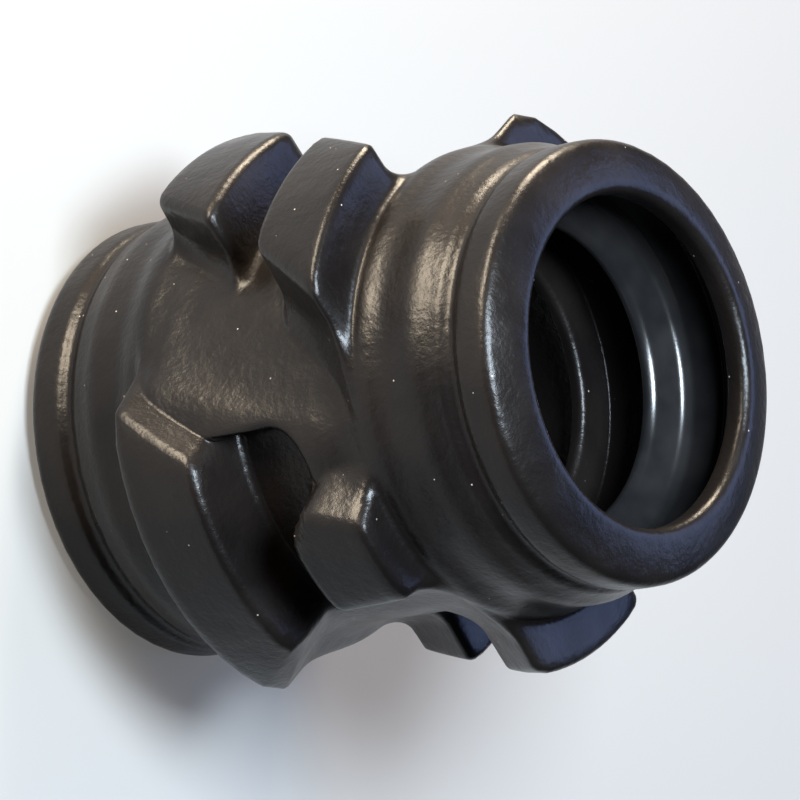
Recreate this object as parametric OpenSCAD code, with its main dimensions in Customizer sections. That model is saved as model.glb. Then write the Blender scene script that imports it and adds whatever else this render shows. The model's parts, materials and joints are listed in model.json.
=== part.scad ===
// Double-socket push-on coupling for 4 inch plastic pressure pipe.
// It stands on its rear socket face: Z is the pipe axis, the origin is the centre of that face.

/* [Pipe] */
// Outside diameter of the pipe that both sockets take
pipe_d = 114.3; // [95:0.1:140]
// Radial play between the pipe and the socket's entry lip
entry_play = 1.85; // [1:0.05:3]
// How far the sealing lip reaches inside the pipe's surface
seal_bite = 2.6; // [2:0.1:5]

/* [Casting] */
// Length of the casting from socket face to socket face
body_len = 221; // [185:1:280]
// Wall of the rim over the gasket groove
rim_wall = 7; // [5:0.5:12]
// Length of the rim
rim_len = 19.5; // [15:0.5:22]
// Length of the crowned rounding of the rim's front
rim_round = 12; // [5:0.5:14]
// Width of the flat ring between that rounding and the mouth
face_flat = 3; // [2:0.5:6]
// Depth of the neck behind the rim
neck_depth = 2.4; // [1:0.1:3]
// How far the shoulder beside the lugs stands over the rim
shoulder_rise = 5; // [4:0.5:10]
// How far the waist lies under the rim's surface
waist_drop = 2.8; // [1:0.1:4]

/* [Sockets] */
// Length of the entry lip
lip_len = 8.5; // [6:0.5:11]
// Radial depth of the groove for the gasket, from the entry lip
groove_depth = 13; // [9:0.1:13.5]
// Depth from the socket face to the back of the gasket groove
groove_back = 44; // [41:0.5:48]
// Radial wall of the gasket's sleeve
sleeve_wall = 2.8; // [2:0.1:4]
// Length of the hard retaining ring behind the entry lip
retainer_len = 9; // [6:0.5:11]
// Thickness of the sealing lip
seal_thick = 4; // [3:0.5:5]
// Depth from the socket face to the pipe stop
stop_depth = 70.5; // [65:0.5:75]
// Thickness of the pipe stop
stop_thick = 5.5; // [4:0.5:8]
// Radial grip of the stop on the pipe's end
stop_grip = 3; // [2:0.1:5]
// Wall of the casting round the chamber between the two stops
waist_wall = 13; // [8:0.5:16]

/* [Lugs] */
// Height of the wide lugs over the rim
lug_rise = 24.5; // [18:0.5:36]
// How much lower the narrow lugs are
narrow_drop = 4; // [0:0.5:6]
// Gap between the two lugs of a pair
lug_gap = 23.2; // [16:0.2:27]
// Length of one lug along the axis
lug_len = 37.7; // [28:0.1:40]
// Radius of the lugs' ridges
lug_round = 4; // [1:0.5:5]
// Half width of the side lugs at mid length
side_half = 28.8; // [23:0.2:32]
// Sideways lean of a side lug's leading end, per unit of length
side_lead_lean = 0.65; // [0.3:0.01:0.7]
// Sideways lean of its trailing end
side_trail_lean = 0.48; // [0.3:0.01:0.7]
// Half width of the wide lugs at mid length
wide_half = 35.2; // [30:0.2:40]
// Widening of the wide lugs, per unit of length
wide_lean = 0.63; // [0.3:0.01:0.7]
// How much of one inner corner of the wide lugs is cut away
wide_cut = 7.5; // [0:0.5:10]
// Half width of the narrow lugs' leaning side at mid length
narrow_half = 28; // [24:0.5:34]
// How much that side narrows, per unit of length
narrow_lean = 0.35; // [0:0.01:0.4]
// Half width of their straight side
straight_half = 24; // [20:0.5:28]
// Height over the rim of the web that closes one end of the slot between a wide and a narrow lug
web_rise = 10; // [5:0.5:14]
// Half width of the round pocket that the slot ends in
pocket_round = 15.5; // [13:0.5:18]

/* [Hidden] */
$fn = 96;
ARC_STEPS = 6;

iron = "#2b2a2b";
rubber = "#141414";
hard_rubber = "#1d1d20";

mid = body_len / 2;
pipe_r = pipe_d / 2;
lip_r = pipe_r + entry_play;
groove_r = lip_r + groove_depth;
rim_r = groove_r + rim_wall;
lug_r = rim_r + lug_rise;
sleeve_r = groove_r - sleeve_wall;
socket_r = sleeve_r + 0.4;
seal_r = pipe_r - seal_bite;
stop_r = pipe_r - stop_grip;
neck_r = rim_r - neck_depth;
shoulder_r = rim_r + shoulder_rise;
waist_r = rim_r - waist_drop;
chamber_r = waist_r - waist_wall;
neck_len = 3.5;
bell_start = rim_len + 2 * neck_len;
lug_end = lug_gap / 2 + lug_len;
seal_front = lip_len + retainer_len;
stop_back = stop_depth + stop_thick;
entry_round = 2.5;
crown_r = lip_r + entry_round + face_flat;

// Points of an arc round [r, z] from angle a0 to angle a1, with 0 degrees outwards and 90 upwards.
function arc(r, z, radius, a0, a1) =
    [for (i = [0:ARC_STEPS]) let (a = a0 + (a1 - a0) * i / ARC_STEPS)
        [r + radius * cos(a), z + radius * sin(a)]];

// Upper half of the outer skin, from the waist up to the mouth, as [radius, height over the middle].
function skin() = concat(
    [[waist_r, 0], [waist_r, lug_gap / 2 + lug_len * 0.6]],
    [[shoulder_r, lug_end + 2.5], [shoulder_r, lug_end + 6]],
    [[rim_r + 1, mid - bell_start], [neck_r, mid - rim_len - neck_len], [neck_r, mid - rim_len - 1]],
    [[rim_r, mid - rim_len + 1]],
    [for (i = [0:2 * ARC_STEPS]) let (a = 45 * i / ARC_STEPS)
        [crown_r + (rim_r - crown_r) * cos(a), mid - rim_round * (1 - sin(a))]]
);

// Upper half of the hollow, from the mouth down to the middle, as [radius, height over the middle].
function hollow() = concat(
    [for (p = arc(lip_r + entry_round, mid - entry_round, entry_round, 90, 180)) p],
    [[lip_r, mid - lip_len], [groove_r, mid - lip_len], [groove_r, mid - groove_back]],
    [[socket_r, mid - groove_back], [socket_r, mid - stop_depth], [stop_r, mid - stop_depth]],
    [[stop_r, mid - stop_back], [chamber_r, mid - stop_back - 6], [chamber_r, 0]]
);

function below(points) = [for (i = [len(points) - 1:-1:0]) [points[i][0], -points[i][1]]];

// A band round the axis that holds every front lug, with round ridges.
module lug_band(top_r) {
    rotate_extrude()
        polygon(concat(
            [[chamber_r + 2, lug_gap / 2], [chamber_r + 2, lug_end]],
            arc(top_r - lug_round, lug_end - lug_round, lug_round, 90, 0),
            arc(top_r - lug_round, lug_gap / 2 + lug_round, lug_round, 0, -90)
        ));
}

// Outline of a lug seen along the radius: half widths at the middle of the casting, how each side leans,
// and how much of the left side's corner at the gap is cut away.
module lug_outline(left, right, lean_left, lean_right, cut) {
    far = lug_end + 5;
    near = lug_gap / 2;
    polygon([
        [-left + lean_left * near + cut, near - 2],
        [-left + lean_left * near + cut, near],
        [-left + lean_left * (near + 18), near + 18],
        [-left + lean_left * far, far],
        [right + lean_right * far, far],
        [right + lean_right * (near - 2), near - 2]
    ]);
}

// Front lug on the side, at +X. It leans, so that a restraint ring can be turned on to it.
module side_lug() {
    intersection() {
        lug_band(lug_r);
        rotate([90, 0, 90])
            linear_extrude(lug_r + 2)
                lug_outline(side_half, side_half, side_trail_lean, side_lead_lean, 0);
    }
}

// Front lug at +Y, which grows narrower towards the mouth.
module narrow_lug() {
    intersection() {
        lug_band(lug_r - narrow_drop);
        rotate([90, 0, 180])
            linear_extrude(lug_r + 2)
                lug_outline(narrow_half, straight_half, narrow_lean, -0.04, 0);
    }
}

// Front lug at -Y, which grows wider towards the mouth.
module wide_lug() {
    intersection() {
        lug_band(lug_r);
        mirror([0, 1, 0]) rotate([90, 0, 180])
            linear_extrude(lug_r + 2)
                lug_outline(wide_half, wide_half, -wide_lean, wide_lean, wide_cut);
    }
}

// Web at +Y and +X. It joins the wide rear lug to the narrow front one, and the slot ends in it in a pocket.
module web() {
    pocket_at = 27;
    rotate([90, 0, 180]) difference() {
        intersection() {
            linear_extrude(rim_r + web_rise)
                polygon([
                    [-pocket_at, -lug_end + 3],
                    [-pocket_at, lug_gap / 2],
                    [-22, lug_gap / 2],
                    [-22, lug_gap / 2 + 22],
                    [-36, lug_gap / 2 + 22],
                    [-50 - 0.45 * (lug_end - 3), -lug_end + 3]
                ]);
            rotate([90, 0, 0]) cylinder(r = rim_r + web_rise, h = 3 * lug_end, center = true);
        }
        translate([-pocket_at, lug_gap / 2 - 4.6, 0]) cylinder(r = pocket_round, h = lug_r);
    }
}

// The four lugs of the front half.
module front_lugs() {
    side_lug();
    mirror([1, 0, 0]) side_lug();
    narrow_lug();
    wide_lug();
}

// The iron casting: a revolved double bell, its eight lugs, and the two sockets.
module coupling_body() {
    color(iron) translate([0, 0, mid]) difference() {
        union() {
            rotate_extrude() polygon(concat([[0, -mid]], below(skin()), skin(), [[0, mid]]));
            front_lugs();
            mirror([0, 0, 1]) rotate([0, 0, 180]) front_lugs();
            difference() {
                union() {
                    web();
                    mirror([0, 0, 1]) rotate([0, 0, 180]) web();
                }
                cylinder(r = chamber_r + 2, h = 3 * lug_end, center = true);
            }
        }
        rotate_extrude() polygon(concat(
            [[0, mid + 1], [lip_r + entry_round, mid + 1]],
            hollow(),
            below(hollow()),
            [[lip_r + entry_round, -mid - 1], [0, -mid - 1]]
        ));
    }
}

// The rubber seal of the front socket: a sleeve in the groove, with a lip that the pipe folds back.
module front_seal() {
    top = body_len - seal_front;
    back = body_len - groove_back;
    tip = seal_thick / 2;
    color(rubber) rotate_extrude() polygon(concat(
        [[groove_r, back], [groove_r, top], [sleeve_r, top], [sleeve_r, back + seal_thick + 8]],
        [[sleeve_r - 2.5, back + seal_thick + 5]],
        arc(seal_r + tip, back + tip, tip, 90, 270)
    ));
}

// The hard ring that holds the front seal behind the entry lip.
module front_retaining_ring() {
    color(hard_rubber) translate([0, 0, body_len - seal_front]) difference() {
        cylinder(r = groove_r, h = retainer_len);
        translate([0, 0, -1]) cylinder(r = sleeve_r, h = retainer_len + 2);
    }
}

module rear_seal() {
    translate([0, 0, body_len]) rotate([180, 0, 0]) front_seal();
}

module rear_retaining_ring() {
    translate([0, 0, body_len]) rotate([180, 0, 0]) front_retaining_ring();
}

coupling_body();
front_seal();
rear_seal();
front_retaining_ring();
rear_retaining_ring();
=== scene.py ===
# %% [markdown]
# # A push-on pipe coupling
# The imported CAD model is the fixed frame of this scene. It is loaded first, and its box is kept.

# %% Load the frame
import json
import math
import bpy
import numpy as np
from mathutils import Matrix, Vector


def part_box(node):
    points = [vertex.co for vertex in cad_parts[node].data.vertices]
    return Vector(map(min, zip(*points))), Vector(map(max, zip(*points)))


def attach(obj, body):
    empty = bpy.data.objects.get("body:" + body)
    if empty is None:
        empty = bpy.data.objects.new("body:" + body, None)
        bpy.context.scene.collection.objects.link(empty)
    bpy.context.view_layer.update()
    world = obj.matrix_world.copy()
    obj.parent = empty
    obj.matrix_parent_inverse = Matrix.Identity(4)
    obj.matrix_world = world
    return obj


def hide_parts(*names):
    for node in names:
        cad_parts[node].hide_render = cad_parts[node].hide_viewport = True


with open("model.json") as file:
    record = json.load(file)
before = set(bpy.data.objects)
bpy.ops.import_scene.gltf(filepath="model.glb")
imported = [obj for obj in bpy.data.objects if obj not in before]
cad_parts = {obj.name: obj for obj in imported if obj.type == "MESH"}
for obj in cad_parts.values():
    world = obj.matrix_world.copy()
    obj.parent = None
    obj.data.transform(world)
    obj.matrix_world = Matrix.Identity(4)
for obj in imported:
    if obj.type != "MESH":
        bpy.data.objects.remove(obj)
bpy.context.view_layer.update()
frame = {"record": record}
MM = 0.001
BODY_LOW, BODY_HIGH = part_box("coupling_body")
LENGTH = (BODY_HIGH[2] - BODY_LOW[2]) / MM
MIDDLE = LENGTH / 2
LUG_TOP = (BODY_HIGH[0] - BODY_LOW[0]) / 2 / MM
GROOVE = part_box("front_seal")[1][0] / MM
BORE_MOUNT = frame["record"]["mounts"][0]["dims"]["r_mm"]
print("casting", round(LENGTH, 2), "mm long, lugs", round(LUG_TOP, 2), "mm from the axis")
print("gasket groove", round(GROOVE, 2), "mm from the axis, entry lip", BORE_MOUNT, "mm")

# %% [markdown]
# The whole coupling is turned work with lugs added, so every surface here is a grid: one direction runs
# along a closed profile, the other runs round the pipe axis. Both directions join up with themselves, so
# the mesh has no seams, poles or open edges. Whole arrays are put into the mesh at once.

# %% A closed grid
def ring_mesh(name, points):
    """A closed tube of quads: row i, column j joins row i+1 and column j+1, and both counts wrap round.
    Rows follow the profile, columns follow the turn about the axis."""
    rows, cols = points.shape[:2]
    i, j = np.meshgrid(np.arange(rows), np.arange(cols), indexing="ij")
    a, b = i * cols + j, i * cols + (j + 1) % cols
    c, d = ((i + 1) % rows) * cols + (j + 1) % cols, ((i + 1) % rows) * cols + j
    quads = np.stack([a, b, c, d], -1).reshape(-1, 4)
    mesh = bpy.data.meshes.new(name)
    mesh.vertices.add(rows * cols)
    mesh.vertices.foreach_set("co", (points.reshape(-1, 3) * MM).astype(np.float32).ravel())
    mesh.loops.add(quads.size)
    mesh.loops.foreach_set("vertex_index", quads.astype(np.int32).ravel())
    mesh.polygons.add(len(quads))
    mesh.polygons.foreach_set("loop_start", np.arange(0, quads.size, 4, dtype=np.int32))
    mesh.polygons.foreach_set("use_smooth", np.ones(len(quads), dtype=bool))
    mesh.update(calc_edges=True)
    mesh.validate()
    piece = bpy.data.objects.new(name, mesh)
    bpy.context.scene.collection.objects.link(piece)
    print(name, rows, "rows x", cols, "columns =", 2 * len(quads), "triangles")
    return piece


def volume_litres(piece):
    """Signed volume: a sixth of the sum of a . (b x c + c x d) over the quads' corners a, b, c, d. It is
    positive when the faces point outwards."""
    mesh = piece.data
    co = np.empty(len(mesh.vertices) * 3, np.float32)
    mesh.vertices.foreach_get("co", co)
    co = co.reshape(-1, 3).astype(float)
    corner = np.empty(len(mesh.loops), np.int32)
    mesh.loops.foreach_get("vertex_index", corner)
    q = co[corner.reshape(-1, 4)]
    fan = np.einsum("ij,ij->i", q[:, 0], np.cross(q[:, 1], q[:, 2]) + np.cross(q[:, 2], q[:, 3]))
    return fan.sum() / 6 * 1000


# %% [markdown]
# The skin of the casting without its lugs is one curve: radius against the distance from the middle.
# It is level at the waist, swells into a shoulder past the lugs, falls in two soft steps to a shallow neck,
# and ends in the rim. The corners of the curve are softened by averaging over a few millimetres, which
# gives the soft edges that sand and a dipped coating leave.

# %% The bare skin
SKIN = np.array([
    [0, 76.2], [30, 76.2],
    [40, 79.0], [48, 83.8], [52, 84.4], [54, 84.4],
    [60.5, 82.0], [66, 82.0], [74.5, 82.4],
    [80.5, 79.6], [84, 79.3],
    [87.3, 76.9], [89.6, 76.7],
    [92.5, 79.0], [101, 79.0],
])
WINDOW_AT = [0, 60, 80, 90]
WINDOW = [2.6, 2.4, 2.0, 1.5]
WINDOW_STEPS = 9


def bare_skin(x):
    """Radius at distance x from the middle: straight pieces between the skin's corners, averaged over nine
    places up to one window to either side. The window is 2.6 mm at the waist and 1.5 mm near the rim."""
    x = np.abs(x)
    window = np.interp(x, WINDOW_AT, WINDOW)
    total = 0
    for share in np.linspace(-1, 1, WINDOW_STEPS):
        total = total + np.interp(np.abs(x + share * window), SKIN[:, 0], SKIN[:, 1])
    return total / WINDOW_STEPS


print("waist", bare_skin(np.array([0.0]))[0], "shoulder", bare_skin(np.array([53.0]))[0])

# %% [markdown]
# Each lug is the space under a top radius and between four walls. The two walls across the axis have a
# little draft, so that the pattern leaves the sand. The two sides lean along the axis. A point is inside when
# the depths under all five faces are large enough, and where two faces meet the shortfalls are combined as
# the sides of a right triangle, which turns each ridge and corner into a round one.

# %% The lugs
GAP_HALF = 11.6
LUG_END = 49.3
DRAFT = 0.07
DRAFT_FROM = 76.0
TINY = 1e-6
DISTANCE_SCALE = 5
OPPOSITE = 50


def squared_shortfalls(depths, edges):
    """For each face, (1 - depth / rounding) squared, or 0 where the point is deeper than the rounding."""
    return [np.maximum(1 - depth / edge, 0) ** 2 for depth, edge in zip(depths, edges)]


def distance_of(parts, turned_by):
    """The root of the summed squares, less 1, times 5, which is roughly millimetres. Points on the opposite
    side of the casting get 50 more, because the sine of the angle can't tell the two sides apart."""
    return DISTANCE_SCALE * (np.sqrt(sum(parts)) - 1) + np.where(np.cos(turned_by) > 0, 0, OPPOSITE)


class Lug:
    """One lug: its direction round the axis, its end of the casting (1 front, -1 rear) and its top radius.
    Each side is (distance from the lug's centre plane, lean along the axis, flare towards the foot). The
    edges are the roundings at the top, the gap, the outer wall, the low side and the high side. A cut
    (side, distance, lean, rounding) takes off the corner between the gap and one side: -1 is the low side
    and 1 the high one."""

    def __init__(self, turn, end, top, low, high, edges, cuts=()):
        self.turn, self.end, self.top = math.radians(turn), end, top
        self.low, self.high, self.edges, self.cuts = low, high, edges, cuts

    def outside(self, x, r, angle):
        """How far a point lies outside the lug: the root of the summed squares of (1 - depth / rounding)
        over the faces that are nearer than their rounding, less 1, times 5. Also the share of it that is
        due to the sides."""
        along = x * self.end
        across = r * np.sin(angle - self.turn)
        steep = DRAFT * (r - DRAFT_FROM)
        low = (across - self.side(self.low, x, r)) / math.hypot(1, self.low[1], self.low[2])
        high = (self.side(self.high, x, r) - across) / math.hypot(1, self.high[1], self.high[2])
        depths = [self.top - r, along - GAP_HALF - steep, LUG_END - steep - along, low, high]
        edges = list(self.edges)
        for sign, distance, lean, edge in self.cuts:
            depths.append((distance + lean * along - sign * across) / math.hypot(1, lean))
            edges.append(edge)
        parts = squared_shortfalls(depths, edges)
        share = (parts[3] + parts[4]) / (sum(parts[1:]) + TINY)
        return distance_of(parts, angle - self.turn), share

    def side(self, side, x, r):
        """Where a side stands at distance x along the axis and radius r."""
        return side[0] + side[1] * x + side[2] * (self.top - r)

    def edge_angle(self, side, x, r):
        """Angle about the axis at which a side passes radius r."""
        return self.turn + np.arcsin(np.clip(self.side(side, x, r) / r, -0.95, 0.95))


class Web:
    """A raised web at the low side of a pair of tapered lugs, under a top that falls along the axis. Its
    outer slope leans along the axis, and the slot between the lugs ends in it in a round pocket: the depth
    there is the distance from the pocket's centre line less the pocket's radius."""

    TOP, TOP_FALL = 89.5, 0.12
    SLOPE_AT, SLOPE_LEAN, SLOPE_FLARE, SLOPE_RADIUS, SLOPE_LENGTH = 45.5, 0.45, 0.75, 93, 1.33
    WIDE_REACH, NARROW_REACH, SLOT_SIDE = 46, 36, 20
    POCKET_ALONG, POCKET_UP, POCKET_RADIUS, POCKET_FLARE, POCKET_AT = 7, 27, 16.5, 0.3, 90
    EDGES = [4, 9, 12, 10, 3.5, 5]

    def __init__(self, turn, end):
        self.turn, self.end = math.radians(turn), end

    def outside(self, x, r, angle):
        """As for a lug: the distance, and the share of it due to the outer slope and the narrow end."""
        along, up = x * self.end, -r * np.sin(angle - self.turn)
        slope = (self.SLOPE_AT - self.SLOPE_LEAN * along + self.SLOPE_FLARE * (self.SLOPE_RADIUS - r)
                 - up) / self.SLOPE_LENGTH
        from_centre = np.hypot(np.maximum(along - self.POCKET_ALONG, 0), np.maximum(up - self.POCKET_UP, 0))
        pocket = from_centre - self.POCKET_RADIUS + self.POCKET_FLARE * (self.POCKET_AT - r)
        depths = [self.TOP - self.TOP_FALL * along - r, slope, along + self.WIDE_REACH,
                  self.NARROW_REACH - along, pocket, up - self.SLOT_SIDE]
        parts = squared_shortfalls(depths, self.EDGES)
        share = (parts[1] + parts[3]) / (sum(parts[1:]) + TINY)
        return distance_of(parts, angle - self.turn), share


# %% [markdown]
# There are eight lugs in four pairs. The side pairs lean, so that a ring can be turned on to them. In the
# other two pairs one lug widens towards its mouth and the other narrows, and a web closes one end of the
# slot between them.

# %% Place the lugs
SIDE_HALF, WIDE_HALF, WIDE_LEAN, NARROW_DROP = 28.8, 35.2, 0.63, 4
LEADING_LEAN, TRAILING_LEAN = 0.65, 0.48
SIDE_TURNS = {0: 1, 180: -1}
WIDE_END = {90: -1, 270: 1}
LUGS, WEBS = [], []
for turn, hand in SIDE_TURNS.items():
    for end in (1, -1):
        leans = (TRAILING_LEAN, LEADING_LEAN) if end * hand > 0 else (LEADING_LEAN, TRAILING_LEAN)
        low, high = (-SIDE_HALF, leans[0] * hand, 0), (SIDE_HALF, leans[1] * hand, 0)
        LUGS.append(Lug(turn, end, LUG_TOP, low, high, (3.5, 4, 3.2, 6, 6)))
for turn, wide_end in WIDE_END.items():
    for end in (1, -1):
        if end == wide_end:
            low, high = (-WIDE_HALF, -WIDE_LEAN * end, -0.1), (WIDE_HALF, WIDE_LEAN * end, 0.1)
            LUGS.append(Lug(turn, end, LUG_TOP, low, high, (4, 4, 4.5, 6, 9.5), [(1, 22, 1.05, 8)]))
        else:
            low, high = (-28, 0.35 * end, -0.6), (24, -0.04 * end, 0.3)
            LUGS.append(Lug(turn, end, LUG_TOP - NARROW_DROP, low, high, (3, 4, 4.5, 3, 7),
                            [(-1, -3, 1.0, 5)]))
    WEBS.append(Web(turn, -wide_end))
print(len(LUGS), "lugs, the highest", round(LUG_TOP, 2), "mm from the axis, and", len(WEBS), "webs")

# %% Join them to the skin
WALL_FILLET, SIDE_FILLET = 4, 11
LOWEST, HIGHEST, HALVINGS = 60.0, 104.0, 24
FAR_AWAY = 1000.0


def outer_radius(x, angle):
    """Radius of the finished skin. The bare skin and the lugs are joined with a round fillet, wider at the
    lugs' sides than at their walls. Between two lugs its radius is the mean of both, each weighted by e to
    the power of minus half its distance. The radius where the joined shape ends is found by halving."""
    skin = bare_skin(x)
    low, high = np.full(angle.shape, LOWEST), np.full(angle.shape, HIGHEST)
    for _ in range(HALVINGS):
        r = (low + high) / 2
        lug, share, weight = FAR_AWAY, 0, 1e-12
        for each in LUGS + WEBS:
            other, its_share = each.outside(x, r, angle)
            near = np.exp(-np.clip(other, -20, 60) / 2)
            share, weight = share + near * its_share, weight + near
            lug = np.minimum(lug, other)
        fillet = WALL_FILLET + (SIDE_FILLET - WALL_FILLET) * share / weight
        base = r - skin
        joined = np.maximum(fillet, np.minimum(lug, base)) - np.hypot(
            np.maximum(fillet - lug, 0), np.maximum(fillet - base, 0))
        low, high = np.where(joined < 0, r, low), np.where(joined < 0, high, r)
    return (low + high) / 2


# %% [markdown]
# A regular grid would waste faces on the flat places and run short at the ridges. So the columns lean with
# the lugs' sides and are packed where a ridge or a foot is, and the rows are packed at the lugs' walls, the
# neck and the rim.

# %% Rows and columns
def steps(start, stop, count):
    """Even steps from start, up to but not at stop."""
    return np.linspace(start, stop, count, endpoint=False)


FOOT_RADIUS, RIDGE_RADIUS = 82, 99
POCKET_START, POCKET_BEND = 4, 20


def lug_edges(x):
    """For each row, the angles of the eight sides round the casting, each at its foot and at its ridge.
    Between the front and the rear lugs they pass over smoothly, along 3 t^2 - 2 t^3. At a web they stay
    with the wide lug round the pocket, and pass over along t^3 behind it."""
    t = np.clip((x + GAP_HALF) / (2 * GAP_HALF), 0, 1)
    t = t * t * (3 - 2 * t)
    found = []
    for turn in (0, 90, 180, 270):
        pair = [each for end in (1, -1) for each in LUGS
                if each.turn == math.radians(turn) and each.end == end]
        wide_end = WIDE_END.get(turn, 0)
        bend = np.clip((-x * wide_end - POCKET_START) / POCKET_BEND, 0, 1) ** 3
        round_pocket = bend if wide_end < 0 else 1 - bend
        for side, radii in (("low", (FOOT_RADIUS, RIDGE_RADIUS)), ("high", (RIDGE_RADIUS, FOOT_RADIUS))):
            share = round_pocket if side == "low" and wide_end else t
            for radius in radii:
                front, rear = (
                    each.edge_angle(getattr(each, side),
                                    np.clip(x * each.end, GAP_HALF, LUG_END) * each.end, radius)
                    for each in pair)
                found.append(front * share + rear * (1 - share))
    return np.stack(found, -1)


FOOT_HALF, RIDGE_HALF = math.radians(4), math.radians(2.5)
WALL_SHARE, GAP_SHARE = 0.35, 0.3
COLUMNS = (9, 8, 12, 12, 12, 8, 9, 19)


def column_angles(x):
    """Angles of all columns for each row: even steps between places that stand a little to either side
    of each ridge and each foot. Where a lug is narrow or its side is steep, they stand closer."""
    edges = lug_edges(x)
    parts = []
    for k in range(4):
        foot0, ridge0, ridge1, foot1 = (edges[:, 4 * k + n] for n in range(4))
        before = edges[:, (4 * k + 15) % 16] - (2 * math.pi if k == 0 else 0)
        after = edges[:, (4 * k + 4) % 16] + (2 * math.pi if k == 3 else 0)
        wall0, wall1 = (ridge0 - foot0) * WALL_SHARE, (foot1 - ridge1) * WALL_SHARE
        crown = np.minimum(RIDGE_HALF, (ridge1 - ridge0) * GAP_SHARE)
        lead = np.minimum(FOOT_HALF, (foot0 - before) * GAP_SHARE)
        trail = np.minimum(FOOT_HALF, (after - foot1) * GAP_SHARE)
        places = [foot0 - lead, foot0 + np.minimum(FOOT_HALF, wall0),
                  ridge0 - np.minimum(RIDGE_HALF, wall0), ridge0 + crown,
                  ridge1 - crown, ridge1 + np.minimum(RIDGE_HALF, wall1),
                  foot1 - np.minimum(FOOT_HALF, wall1), foot1 + trail, after - trail]
        for start, stop, count in zip(places, places[1:], COLUMNS):
            t = np.arange(count) / count
            parts.append(start[:, None] + (stop - start)[:, None] * t)
    return np.concatenate(parts, -1)


# Distances from the middle: gap wall, lug top, outer wall, shoulder, neck and rim.
half_rows = np.concatenate([
    steps(1.5, 8, 3), steps(8, 11.2, 6), steps(11.2, 13.6, 9), steps(13.6, 18, 8),
    steps(18, 30, 9), steps(30, 38, 3), steps(38, 45, 3),
    steps(45, 48.3, 6), steps(48.3, 50.4, 7), steps(50.4, 57, 7),
    steps(57, 83, 9), steps(83, 93, 11), steps(93, LENGTH / 2 - 14.3, 2),
])
print(len(half_rows), "rows from the middle to the rim's rounding")

# %% [markdown]
# The rim's front is crowned: its edge falls back slowly from the mouth and then turns quickly into the side.
# It is drawn for a casting of twice 110.5 mm, and moved to the frame's own end. The hollow is the other half
# of the closed profile: a rounded entry lip, the groove that holds the seal, the socket, the pipe stop, and
# the wider chamber in the middle. The groove is 0.02 mm wider than the seal, so that the two don't share
# a surface.

# %% The profile of rim and hollow
def arc(r, x, radius, start, stop, count=7):
    """Points round (r, x) from start to stop degrees, where 0 points outwards and 90 towards the mouth."""
    a = np.radians(np.linspace(start, stop, count))
    return np.stack([r + radius * np.cos(a), x + radius * np.sin(a)], -1)


GROOVE_BACK = 44.0
STOP_DEPTH = 70.5
LIP_LENGTH = 8.5
LIP_ROUND, EDGE_ROUND, STOP_ROUND, SOCKET_ROUND = 3.6, 0.6, 2.6, 1.0
SOCKET, STOP, CHAMBER = 69.6, 54.15, 63.2
GROOVE_WALL = GROOVE + 0.02
DRAWN_HALF = 110.5
rim_edge = np.array([
    [79.0, 97.2], [79.0, 100.0], [78.95, 102.2], [78.7, 103.4], [78.25, 104.3],
    [77.6, 105.1], [76.8, 105.75], [75.8, 106.3], [74.4, 106.9], [72.4, 107.7],
    [70.4, 108.45], [68.4, 109.15], [66.4, 109.75], [64.6, 110.2], [63.7, 110.4],
]) + [0, MIDDLE - DRAWN_HALF]
hollow_half = np.concatenate([
    arc(BORE_MOUNT + LIP_ROUND, MIDDLE - LIP_ROUND, LIP_ROUND, 86, 180, 10),
    [[BORE_MOUNT, MIDDLE - LIP_LENGTH + EDGE_ROUND]],
    arc(BORE_MOUNT + EDGE_ROUND, MIDDLE - LIP_LENGTH + EDGE_ROUND, EDGE_ROUND, 200, 270, 3),
    [[66, MIDDLE - LIP_LENGTH], [71.5, MIDDLE - LIP_LENGTH], [GROOVE_WALL, MIDDLE - LIP_LENGTH - EDGE_ROUND]],
    [[GROOVE_WALL, MIDDLE - 26], [GROOVE_WALL, MIDDLE - 43.5], [71.5, MIDDLE - GROOVE_BACK]],
    arc(SOCKET + 0.5, MIDDLE - GROOVE_BACK - 0.5, 0.5, 90, 180, 3),
    [[SOCKET, MIDDLE - 55]],
    arc(SOCKET - SOCKET_ROUND, MIDDLE - 69.5, SOCKET_ROUND, 0, -90, 4),
    arc(STOP + STOP_ROUND, MIDDLE - STOP_DEPTH - STOP_ROUND, STOP_ROUND, 90, 180, 7),
    [[STOP, MIDDLE - 74.2]],
    arc(STOP + SOCKET_ROUND, MIDDLE - 75.0, SOCKET_ROUND, 180, 230, 3),
    [[62.6, MIDDLE - 81.5], [CHAMBER, MIDDLE - 83], [CHAMBER, MIDDLE - 96]],
])
print(len(rim_edge), "rows on the rim's edge,", len(hollow_half), "rows in half of the hollow")

# %% [markdown]
# A cast skin is never quite true, so two slow waves round the axis take up to 0.22 mm off it.

# %% Build the casting
WAVE_DEPTH = 0.22
x_out = np.concatenate([-half_rows[::-1], half_rows])
turn_out = column_angles(x_out)
print("smallest column step", round(np.degrees(np.diff(turn_out, axis=1)).min(), 4), "degrees")
r_out = outer_radius(x_out[:, None], turn_out)
shifted = turn_out + x_out[:, None] * 0.01
wave = 0.5 + 0.25 * np.sin(3 * shifted + 0.9) + 0.25 * np.sin(5 * turn_out - x_out[:, None] / 17.0)
r_out = r_out - WAVE_DEPTH * wave
front = np.concatenate([rim_edge, hollow_half])
back = (front * [1, -1])[::-1]
edge = np.concatenate([front, back])
turn_edge = column_angles(edge[:, 1])
r_all = np.concatenate([r_out, np.repeat(edge[:, :1], turn_out.shape[1], 1)])
x_all = np.concatenate([x_out, edge[:, 1]])[:, None] + np.zeros_like(r_all)
turn_all = np.concatenate([turn_out, turn_edge])
casting_points = np.stack([r_all * np.cos(turn_all), r_all * np.sin(turn_all), x_all + MIDDLE], -1)
casting = ring_mesh("iron_casting", casting_points)
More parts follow.
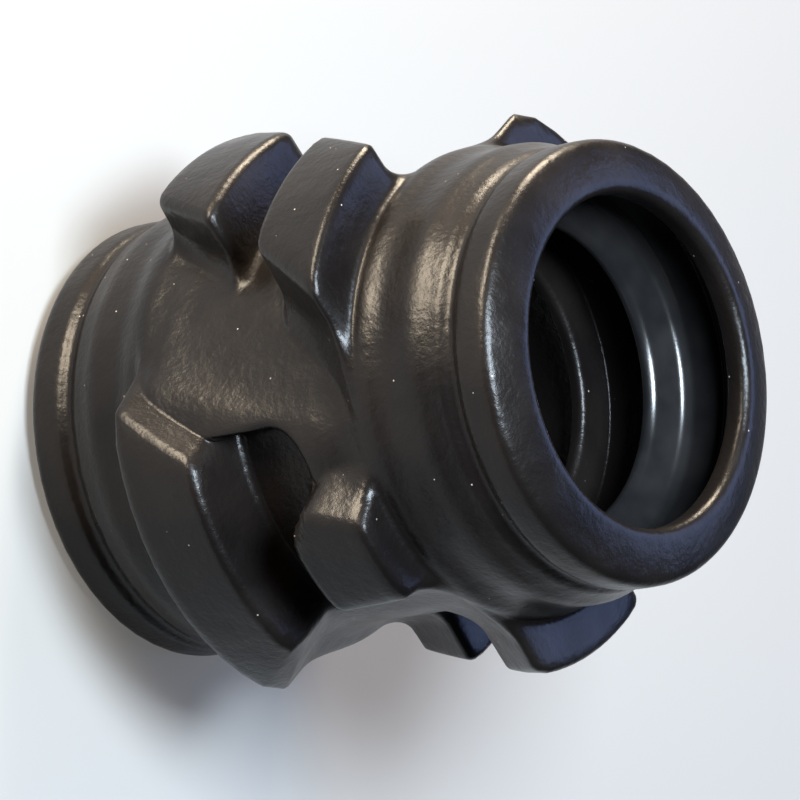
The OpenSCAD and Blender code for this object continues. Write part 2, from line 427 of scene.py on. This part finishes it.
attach(casting, "root")
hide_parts("coupling_body")
print("casting volume", round(volume_litres(casting), 3), "litres")

# %% [markdown]
# The seal is one moulded rubber ring: a sleeve that fills the groove, and a lip that reaches into the bore
# and is folded back by the pipe. The hard ring in front of it keeps it in the groove. Both are turned shapes,
# so a short profile with rounded corners is all they need.

# %% Turned rings
def rounded(corners, radii, count=5):
    """A closed profile with each corner replaced by a short curve: the curve starts and ends one radius
    away from the corner and is the parabola that touches both sides."""
    corners = np.array(corners, float)
    parts = []
    for k, radius in enumerate(radii):
        here, before, after = corners[k], corners[k - 1], corners[(k + 1) % len(corners)]
        start = here + (before - here) / np.linalg.norm(before - here) * radius
        stop = here + (after - here) / np.linalg.norm(after - here) * radius
        t = np.linspace(0, 1, count)[:, None]
        parts.append((1 - t) ** 2 * start + 2 * t * (1 - t) * here + t ** 2 * stop)
    return np.concatenate(parts)


def turned(name, profile, columns=240):
    """The closed profile of (radius, height) carried once round the axis."""
    turn = np.linspace(0, 2 * math.pi, columns, endpoint=False)
    points = np.stack([profile[:, :1] * np.cos(turn), profile[:, :1] * np.sin(turn),
                       profile[:, 1:] + np.zeros((1, columns))], -1)
    return ring_mesh(name, points)


SEAL_LIP = 54.55
SLEEVE = 69.2
RING_LENGTH = 9
back = LENGTH - GROOVE_BACK
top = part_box("front_seal")[1][2] / MM
seal_profile = rounded(
    [[GROOVE, back], [GROOVE, top], [SLEEVE, top], [SLEEVE, back + 12.6], [66.8, back + 8.8],
     [56.4, back + 4.8], [SEAL_LIP, back + 2.6], [SEAL_LIP, back + 0.7], [SEAL_LIP + 1.5, back]],
    [0.5, 0.5, 1.6, 1.2, 1.5, 1.3, 0.9, 0.5, 0.6])
ring_profile = rounded(
    [[GROOVE, top], [GROOVE, top + RING_LENGTH], [SLEEVE, top + RING_LENGTH], [SLEEVE, top]],
    [0.3, 0.6, 1.9, 0.5])
seals, hard_rings = [], []
for end, node in ((1, "front"), (-1, "rear")):
    for profile, kind, made in ((seal_profile, "seal", seals), (ring_profile, "retaining_ring", hard_rings)):
        here = profile if end > 0 else np.stack([profile[:, 0], LENGTH - profile[:, 1]], -1)[::-1]
        piece = turned(node + "_" + kind + "_turned", here)
        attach(piece, "root")
        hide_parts(node + "_" + kind)
        made.append(piece)
        print(piece.name, "volume", round(volume_litres(piece), 4), "litres")

# %% [markdown]
# The casting is dipped in a black coating, which flows into a thin, half-glossy skin over the grain of the
# sand. Close up it is a fine orange peel over slow swells, and it carries grains of pale dust. All of it is
# noise and cells on Object coordinates, so it stays put when the part is seen from anywhere.

# %% Node helpers
def finish_nodes(name):
    """A new material and its shader, with a helper that adds nodes and sets their plain values."""
    material = bpy.data.materials.new(name)
    material.use_nodes = True
    tree = material.node_tree
    shader = tree.nodes["Principled BSDF"]
    place = tree.nodes.new("ShaderNodeTexCoord")

    def add(kind, inputs=None, **settings):
        node = tree.nodes.new("ShaderNode" + kind)
        for key, value in settings.items():
            setattr(node, key, value)
        for key, value in (inputs or {}).items():
            if isinstance(value, bpy.types.NodeSocket):
                tree.links.new(value, node.inputs[key])
            else:
                node.inputs[key].default_value = value
        return node

    return material, tree, shader, place.outputs["Object"], add


def noise(add, place, scale, detail=2.0, rough=0.5):
    """Grey noise on Object coordinates; scale is in cells per metre."""
    inputs = {"Vector": place, "Scale": scale, "Detail": detail, "Roughness": rough}
    return add("TexNoise", inputs).outputs["Fac"]


def ramp(add, source, low, high, out_low=0.0, out_high=1.0):
    """The source from low to high carried to out_low to out_high, and held at those ends."""
    return add("MapRange", {"Value": source, "From Min": low, "From Max": high, "To Min": out_low,
                            "To Max": out_high}, clamp=True).outputs["Result"]


# %% The dipped iron
COATING_DARK, COATING_BROWN = (0.0040, 0.0032, 0.0031, 1), (0.0072, 0.0057, 0.0049, 1)
DUST = (0.28, 0.25, 0.22, 1)
iron, tree, shader, place, add = finish_nodes("dipped_sand_cast_iron")
shader.inputs["IOR"].default_value = 1.29
broad = noise(add, place, 28.0, 3.0)
fine = noise(add, place, 420.0, 2.0)
grain = noise(add, place, 1150.0, 3.0, 0.6)
tone = add("MixRGB", {"Fac": ramp(add, broad, 0.35, 0.65), "Color1": COATING_DARK,
                      "Color2": COATING_BROWN}).outputs["Color"]
speck_cells = add("TexVoronoi", {"Vector": place, "Scale": 330.0, "Randomness": 1.0})
speck_pick = add("SeparateColor", {"Color": speck_cells.outputs["Color"]}).outputs["Red"]
speck_near = ramp(add, speck_cells.outputs["Distance"], 0.07, 0.13, 1.0, 0.0)
speck_some = ramp(add, speck_pick, 0.965, 0.975)
speck = add("Math", {0: speck_near, 1: speck_some}, operation="MULTIPLY").outputs["Value"]
dusted = add("MixRGB", {"Fac": speck, "Color1": tone, "Color2": DUST}).outputs["Color"]
tree.links.new(dusted, shader.inputs["Base Color"])
gloss = ramp(add, noise(add, place, 75.0, 3.0), 0.3, 0.7, 0.27, 0.36)
tree.links.new(gloss, shader.inputs["Roughness"])
swell = add("Bump", {"Height": noise(add, place, 95.0, 1.0), "Strength": 0.32, "Distance": 0.0012})
peel = add("Bump", {"Height": fine, "Strength": 0.32, "Distance": 0.0006, "Normal": swell.outputs["Normal"]})
sand = add("Bump", {"Height": grain, "Strength": 0.22, "Distance": 0.0003, "Normal": peel.outputs["Normal"]})
tree.links.new(sand.outputs["Normal"], shader.inputs["Normal"])
casting.data.materials.append(iron)
print(iron.name, len(tree.nodes), "nodes")

# %% The seal's rubber and the hard ring
RUBBER_BLACK, RUBBER_BLOOM = (0.007, 0.007, 0.0075, 1), (0.012, 0.0115, 0.0115, 1)
PLASTIC_DARK, PLASTIC_GREY = (0.014, 0.014, 0.016, 1), (0.022, 0.022, 0.024, 1)
rubber, tree, shader, place, add = finish_nodes("moulded_seal_rubber")
shader.inputs["IOR"].default_value = 1.45
bloom = noise(add, place, 60.0, 3.0)
skin_tone = add("MixRGB", {"Fac": ramp(add, bloom, 0.35, 0.7), "Color1": RUBBER_BLACK,
                           "Color2": RUBBER_BLOOM}).outputs["Color"]
tree.links.new(skin_tone, shader.inputs["Base Color"])
tree.links.new(ramp(add, bloom, 0.3, 0.7, 0.19, 0.26), shader.inputs["Roughness"])
matt = add("Bump", {"Height": noise(add, place, 1400.0, 2.0), "Strength": 0.15, "Distance": 0.0002})
tree.links.new(matt.outputs["Normal"], shader.inputs["Normal"])
for piece in seals:
    piece.data.materials.append(rubber)

plastic, tree, shader, place, add = finish_nodes("hard_black_plastic")
shader.inputs["IOR"].default_value = 1.46
flow = noise(add, place, 45.0, 2.0)
streaks = add("MixRGB", {"Fac": flow, "Color1": PLASTIC_DARK, "Color2": PLASTIC_GREY}).outputs["Color"]
tree.links.new(streaks, shader.inputs["Base Color"])
tree.links.new(ramp(add, flow, 0.3, 0.7, 0.3, 0.4), shader.inputs["Roughness"])
lay = add("Bump", {"Height": noise(add, place, 900.0, 2.0), "Strength": 0.1, "Distance": 0.0002})
tree.links.new(lay.outputs["Normal"], shader.inputs["Normal"])
for piece in hard_rings:
    piece.data.materials.append(plastic)
print("rubber on", len(seals), "seals, plastic on", len(hard_rings), "rings")

# %% [markdown]
# The coupling stands on its rear face on a pale sheet, one large flat square just under that face. Four soft
# panels light it. A cool one high up draws the rings in the mouth, two low warm ones give the tan bands on
# the sides, and a large weak blue one on the far side colours the faces that look towards the mouth.

# %% Floor
SHEET_HALF = 3.0
BELOW_PART = 0.0002
corner = np.array([[-1, -1, 0], [1, -1, 0], [1, 1, 0], [-1, 1, 0]]) * SHEET_HALF
floor_mesh = bpy.data.meshes.new("pale_sheet")
floor_mesh.from_pydata((corner - [0, 0, BELOW_PART]).tolist(), [], [(0, 1, 2, 3)])
floor = bpy.data.objects.new("pale_sheet", floor_mesh)
bpy.context.scene.collection.objects.link(floor)
paper, tree, shader, place, add = finish_nodes("pale_paper")
shader.inputs["Base Color"].default_value = (0.25, 0.245, 0.235, 1)
shader.inputs["Roughness"].default_value = 0.9
shader.inputs["Specular IOR Level"].default_value = 0.0
shader.inputs["Emission Color"].default_value = (1, 1, 1, 1)
shader.inputs["Emission Strength"].default_value = 0.12
floor_mesh.materials.append(paper)

# %% Lights
def unit(azimuth, elevation):
    """Direction from the object: azimuth from +X towards +Y, elevation over the floor, in degrees."""
    a, e = math.radians(azimuth), math.radians(elevation)
    return Vector((math.cos(a) * math.cos(e), math.sin(a) * math.cos(e), math.sin(e)))


def panel(name, azimuth, elevation, distance, width, height, radiance, colour):
    """A rectangular area light that faces the coupling; its power is radiance times area times pi."""
    light = bpy.data.lights.new(name, "AREA")
    light.shape = "RECTANGLE"
    light.size, light.size_y = width, height
    light.energy = radiance * width * height * math.pi
    light.color = colour
    lamp = bpy.data.objects.new(name, light)
    bpy.context.scene.collection.objects.link(lamp)
    target = Vector((0, 0, MIDDLE * MM))
    lamp.location = target + unit(azimuth, elevation) * distance
    lamp.rotation_mode = "QUATERNION"
    lamp.rotation_quaternion = (target - lamp.location).to_track_quat("-Z", "Y")
    return lamp


WARM = (1.0, 0.84, 0.64)
panel("warm_side", -52, 12, 1.5, 0.55, 0.62, 56.0, WARM)
panel("warm_wall", 8, 4, 1.3, 0.8, 0.36, 48.0, WARM)
panel("cool_overhead", 36, 64, 1.6, 0.6, 0.55, 84.0, (0.76, 0.88, 1.0))
panel("blue_window", -121, 42, 1.6, 1.4, 1.0, 3.6, (0.40, 0.53, 1.0))
world = bpy.data.worlds.new("room")
world.use_nodes = True
world.node_tree.nodes["Background"].inputs["Color"].default_value = (0.55, 0.62, 0.75, 1)
world.node_tree.nodes["Background"].inputs["Strength"].default_value = 0.06
bpy.context.scene.world = world
bpy.context.scene.view_settings.view_transform = "Standard"

# %% [markdown]
# The camera is a long lens far away, so that the round mouths keep their shape. It looks down at the front
# mouth from the side and is rolled over, so the coupling lies across the picture.

# %% Camera
DISTANCE = 3.634
SIDE_STEP, UP_STEP = 0.00035, 0.00056
swing = Matrix.Rotation(math.radians(4), 3, "Z")
towards = swing @ Vector((0.4439, 0.6339, 0.6334)).normalized()
upwards = swing @ Vector((0.7449, -0.6539, 0.1324))
right = upwards.cross(towards).normalized()
upwards = towards.cross(right).normalized()
lens = bpy.data.cameras.new("long_lens")
lens.sensor_width = 36.0
lens.lens = 460.3
lens.clip_start, lens.clip_end = 0.1, 50.0
camera = bpy.data.objects.new("long_lens", lens)
bpy.context.scene.collection.objects.link(camera)
spot = Vector((0, 0, MIDDLE * MM)) + towards * DISTANCE + right * SIDE_STEP + upwards * UP_STEP
turn = Matrix((right, upwards, towards)).transposed().to_4x4()
camera.matrix_world = Matrix.Translation(spot) @ turn
bpy.context.scene.camera = camera
print("camera", [round(v, 3) for v in spot])

# %% Update the scene and finish
bpy.context.view_layer.update()
